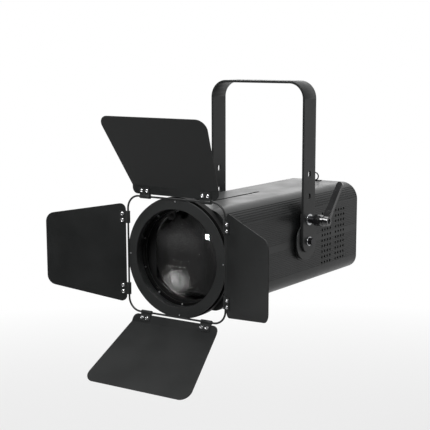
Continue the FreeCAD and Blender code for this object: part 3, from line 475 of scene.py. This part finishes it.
def make_lens():
    """The lens, with a clear front and a pebbled rear dome, in place of the faceted solid."""
    low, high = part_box("lens")
    radius = (high.x - low.x) / 2
    front, rear = low.y, high.y
    front_rim = front + 5 * MM
    rear_rim = front_rim + 3 * MM
    dome_radius = radius - 4 * MM
    turn = Matrix.Translation((0, 0, (high.z + low.z) / 2)) @ Matrix.Rotation(math.radians(-90), 4, "X")
    outline = dome_profile(radius, front, front_rim, 24)
    outline += [(radius, rear_rim), (dome_radius, rear_rim)]
    dome = dome_profile(dome_radius, rear, rear_rim, 32)
    shape = bmesh.new()
    lathe(shape, outline, turn, 160)
    lathe(shape, list(reversed(dome)), turn, 160, 1)
    bmesh.ops.remove_doubles(shape, verts=shape.verts[:], dist=WELD_DISTANCE)
    made = mesh_object("lens_optic", shape, "lens_glass", "zoom_body", 30)
    made.data.materials.append(MATERIALS["lens_pebble"])
    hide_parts("lens")


# ---------------------------------------------------------------- light, floor and camera

LAMP_CENTRE = (0, 0, -0.34)


def soft_light(name, place, size, power):
    """A rectangular soft box that faces the lamp and isn't seen directly.  Its power is in watts."""
    data = bpy.data.lights.new(name, "AREA")
    data.shape = "RECTANGLE"
    data.size, data.size_y = size
    data.energy = power
    made = bpy.data.objects.new(name, data)
    bpy.context.scene.collection.objects.link(made)
    made.location = place
    made.rotation_mode = "QUATERNION"
    made.rotation_quaternion = (Vector(LAMP_CENTRE) - Vector(place)).to_track_quat("-Z", "Y")
    made.visible_camera = False


def studio_brightness(tree, direction):
    """How bright the studio is in a direction: white behind the lamp, dim in front and to its right.

    The backdrop itself is plain white wherever it is seen directly.
    """
    parts = tree.nodes.new("ShaderNodeSeparateXYZ")
    tree.links.new(direction, parts.inputs[0])
    factors = []
    for axis, start, end, low, high in (("Y", -0.7, 0.35, 0.17, 1.0), ("X", 0.5, -0.2, 0.72, 1.0)):
        node = tree.nodes.new("ShaderNodeMapRange")
        node.inputs["From Min"].default_value = start
        node.inputs["From Max"].default_value = end
        node.inputs["To Min"].default_value = low
        node.inputs["To Max"].default_value = high
        tree.links.new(parts.outputs[axis], node.inputs["Value"])
        factors.append(node.outputs["Result"])
    product = tree.nodes.new("ShaderNodeMath")
    product.operation = "MULTIPLY"
    tree.links.new(factors[0], product.inputs[0])
    tree.links.new(factors[1], product.inputs[1])
    seen = tree.nodes.new("ShaderNodeLightPath")
    brighter = tree.nodes.new("ShaderNodeMath")
    brighter.operation = "MAXIMUM"
    tree.links.new(product.outputs[0], brighter.inputs[0])
    tree.links.new(seen.outputs["Is Camera Ray"], brighter.inputs[1])
    return brighter.outputs[0]


def make_surround():
    """A plain studio all round the lamp."""
    world = bpy.data.worlds.new("surround")
    bpy.context.scene.world = world
    world.use_nodes = True
    tree = world.node_tree
    direction = tree.nodes.new("ShaderNodeTexCoord")
    brightness = studio_brightness(tree, direction.outputs["Generated"])
    tree.links.new(brightness, tree.nodes["Background"].inputs["Strength"])
    tree.nodes["Background"].inputs["Color"].default_value = (1, 1, 1, 1)


def make_floor():
    """A pale floor below the hanging lamp, which brightens into the surround with distance."""
    reach, drop = 40.0, 0.9
    fade_start, fade_end = 1.2, 4.5
    low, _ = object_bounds()
    level = low.z - drop
    mesh = bpy.data.meshes.new("floor")
    mesh.from_pydata(
        [(-reach, -reach, level), (reach, -reach, level), (reach, reach, level), (-reach, reach, level)],
        [],
        [(0, 1, 2, 3)],
    )
    floor = bpy.data.objects.new("floor", mesh)
    bpy.context.scene.collection.objects.link(floor)
    material, shader = new_material("floor_white")
    shader.inputs["Roughness"].default_value = 1.0
    shader.inputs["Specular IOR Level"].default_value = 0.0
    shader.inputs["Emission Color"].default_value = (1, 1, 1, 1)
    point = object_point(material)
    distance = add(material, "ShaderNodeVectorMath", operation="LENGTH")
    wire(material, point, distance.inputs[0])
    heading = add(material, "ShaderNodeVectorMath", operation="NORMALIZE")
    wire(material, point, heading.inputs[0])
    brightness = studio_brightness(material.node_tree, heading.outputs["Vector"])
    far = span(material, distance.outputs["Value"], 0.0, 1.0, fade_start, fade_end)
    glow = add(material, "ShaderNodeMath", operation="MULTIPLY")
    wire(material, brightness, glow.inputs[0])
    wire(material, far, glow.inputs[1])
    wire(material, glow.outputs[0], shader.inputs["Emission Strength"])
    pale = blend_colours(material, far, (0.7, 0.7, 0.7), (0.0, 0.0, 0.0), 0.0, 1.0)
    wire(material, pale, shader.inputs["Base Color"])
    mesh.materials.append(material)


def make_lights():
    """Soft boxes above, behind and in front, and a small one that is the highlight in the lens."""
    soft_light("overhead", (0.1, 0.5, 2.4), (3.0, 2.2), 60)
    soft_light("back", (-2.4, 3.6, 0.55), (3.2, 1.3), 14)
    soft_light("front", (0.146, -1.48, 1.17), (1.0, 0.8), 44)
    soft_light("spark", (-1.168, -2.456, -0.536), (0.07, 0.07), 1.2)


def make_camera():
    """The view of the photograph: from the front right, a little above."""
    azimuth, elevation, roll = math.radians(34.30), math.radians(10.207), math.radians(0.115)
    data = bpy.data.cameras.new("camera")
    data.sensor_width = 36.0
    data.lens = 93.42
    data.shift_x = -0.01005
    data.shift_y = 0.07502
    data.clip_end = 100.0
    camera = bpy.data.objects.new("camera", data)
    bpy.context.scene.collection.objects.link(camera)
    level_back = Vector((math.sin(azimuth), -math.cos(azimuth), 0))
    back = level_back * math.cos(elevation) + Vector((0, 0, math.sin(elevation)))
    right = Vector((math.cos(azimuth), math.sin(azimuth), 0))
    turn = Matrix((right, back.cross(right), back)).transposed().to_4x4()
    camera.location = (1.3138, -2.0971, 0.0758)
    camera.rotation_mode = "QUATERNION"
    camera.rotation_quaternion = (turn @ Matrix.Rotation(-roll, 4, "Z")).to_quaternion()
    bpy.context.scene.camera = camera


bpy.context.scene.view_settings.view_transform = "Standard"
make_camera()
dress_frame()
make_lens()
make_lock_coil()
for leaf_side in LEAF_SIDES:
    make_leaf_screws(leaf_side)
round_edges()
make_surround()
make_floor()
make_lights()
